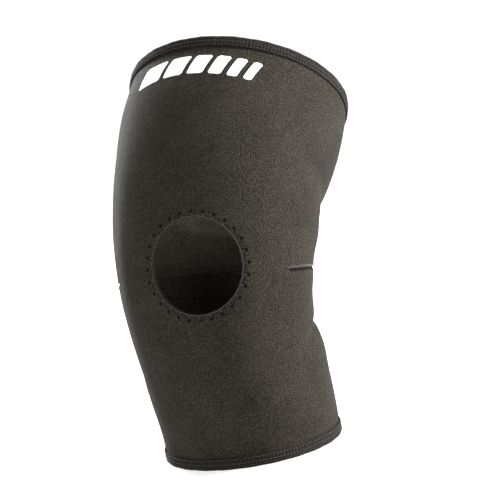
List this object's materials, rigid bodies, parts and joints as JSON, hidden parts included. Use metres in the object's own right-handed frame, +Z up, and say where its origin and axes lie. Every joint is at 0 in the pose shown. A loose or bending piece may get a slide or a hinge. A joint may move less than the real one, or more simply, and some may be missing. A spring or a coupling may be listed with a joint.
{
  "type": "knee brace",
  "caption": "Pre-bent neoprene knee sleeve with an open kneecap hole, darted back, bound hems and a plain front print.",
  "frame": {"origin": "centre of the calf hem's folded edge, in the plane that the sleeve stands on", "axes": "+Z up along the calf, -Y out of the front of the knee, +X to one side; the thigh leans back towards +Y"},
  "size_m": [0.1428, 0.1954, 0.2611],
  "materials": {
    "outer_jersey": "matte brushed nylon jersey",
    "neoprene": "matte closed-cell foam",
    "lining_jersey": "matte knit",
    "binding_tape": "matte ribbed knit tape",
    "thread": "twisted polyester thread",
    "white_film": "matte heat-transfer film",
    "label_fabric": "blank woven satin"
  },
  "bodies": {
    "calf": {"calf_outer_jersey": "outer_jersey", "calf_neoprene_core": "neoprene", "calf_lining": "lining_jersey", "knee_outer_jersey": "outer_jersey", "knee_neoprene_core": "neoprene", "knee_lining": "lining_jersey", "calf_binding_tape": "binding_tape", "calf_binding_upper_stitching": "thread", "calf_binding_lower_stitching": "thread", "calf_back_seam_stitching": "thread", "knee_back_seam_stitching": "thread", "right_dart_stitching": "thread", "left_dart_stitching": "thread", "patella_edge_stitching": "thread"},
    "thigh": {"thigh_outer_jersey": "outer_jersey", "thigh_neoprene_core": "neoprene", "thigh_lining": "lining_jersey", "thigh_binding_tape": "binding_tape", "thigh_binding_upper_stitching": "thread", "thigh_binding_lower_stitching": "thread", "thigh_back_seam_stitching": "thread", "front_print": "white_film", "care_label": "label_fabric"}
  },
  "joints": [
    {"name": "knee_flex", "type": "hinge", "parent": "calf", "child": "thigh", "pos_m": [0, 0.00144, 0.11452], "axis": [-1, 0, 0], "range_deg": [-42, 40], "stiffness_Nm_per_rad": 1.5, "deforming": ["knee_outer_jersey", "knee_neoprene_core", "knee_lining", "knee_back_seam_stitching", "right_dart_stitching", "left_dart_stitching", "patella_edge_stitching"]}
  ]
}
